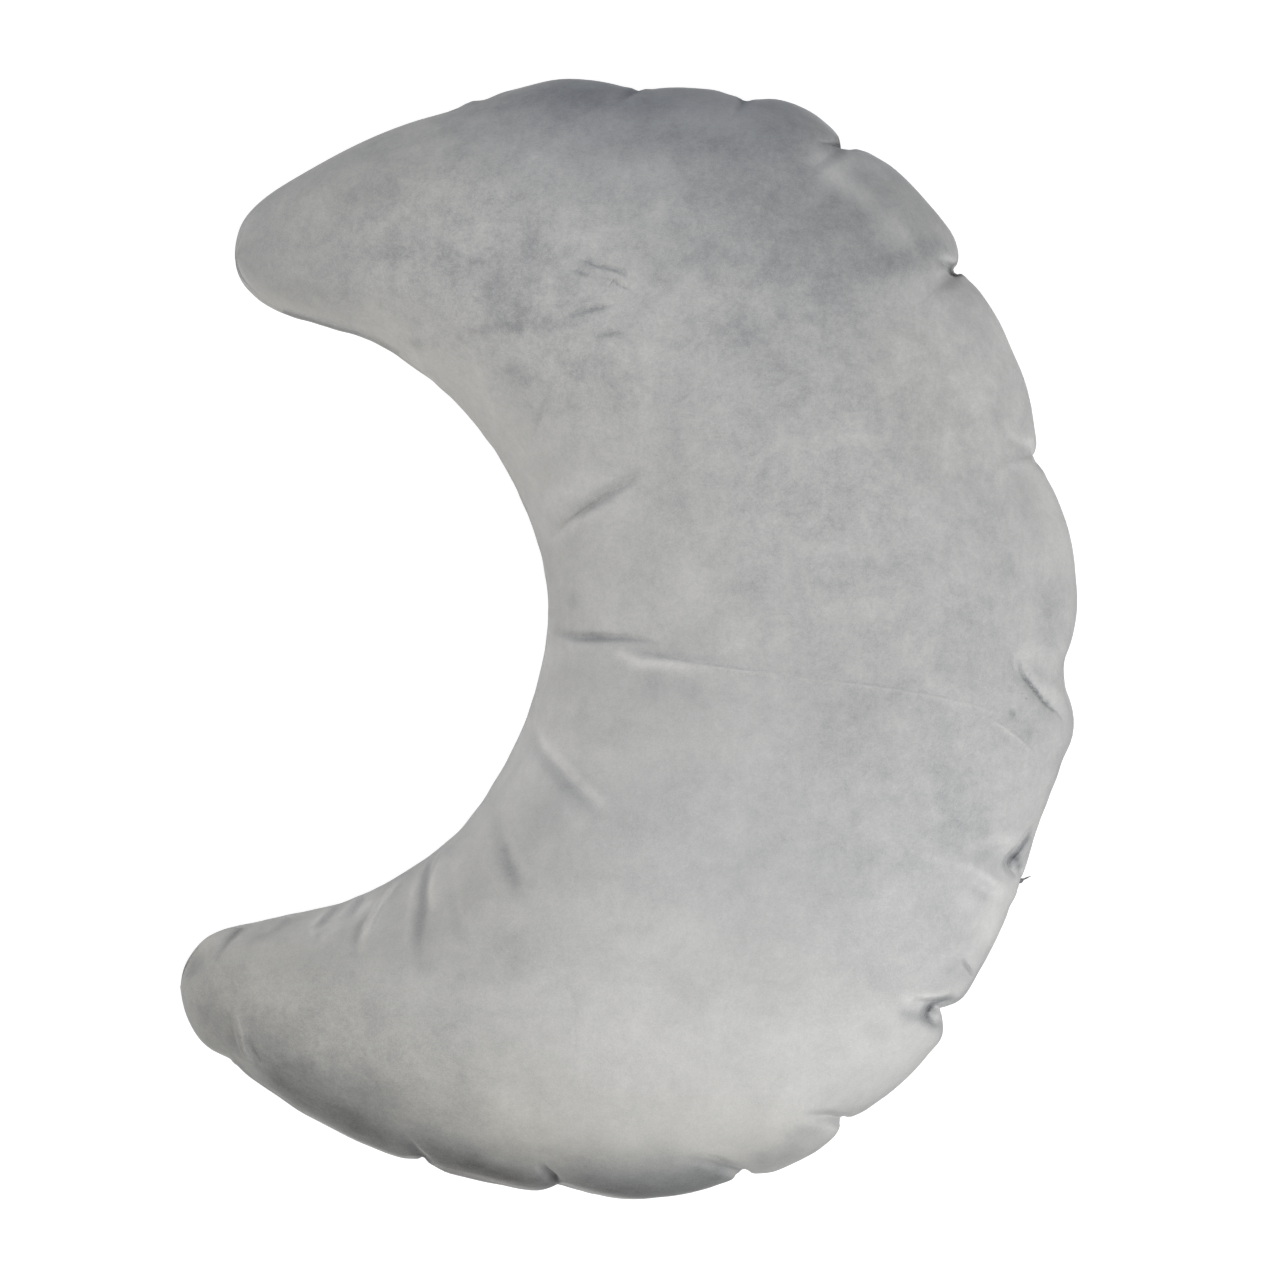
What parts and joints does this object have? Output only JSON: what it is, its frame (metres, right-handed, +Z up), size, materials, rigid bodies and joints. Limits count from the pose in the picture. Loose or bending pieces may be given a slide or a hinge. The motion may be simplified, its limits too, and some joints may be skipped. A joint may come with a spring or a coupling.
{
  "type": "crescent travel pillow",
  "caption": "Filled crescent pillow in short grey velvet, two panels sewn round the edge, gathered along the outer curve, with a bay for the neck.",
  "frame": {"origin": "on the surface the pillow lies on, under the middle of its outline", "axes": "+X from the open side of the bay to the gathered outer curve, +Y up the face towards the upper horn, +Z up out of the face"},
  "size_m": [0.3596, 0.4504, 0.117],
  "materials": {
    "velvet": "short soft pile, matt, with a faint sheen where it lies away from the eye"
  },
  "bodies": {
    "root": {"pillow": "velvet"}
  },
  "joints": []
}
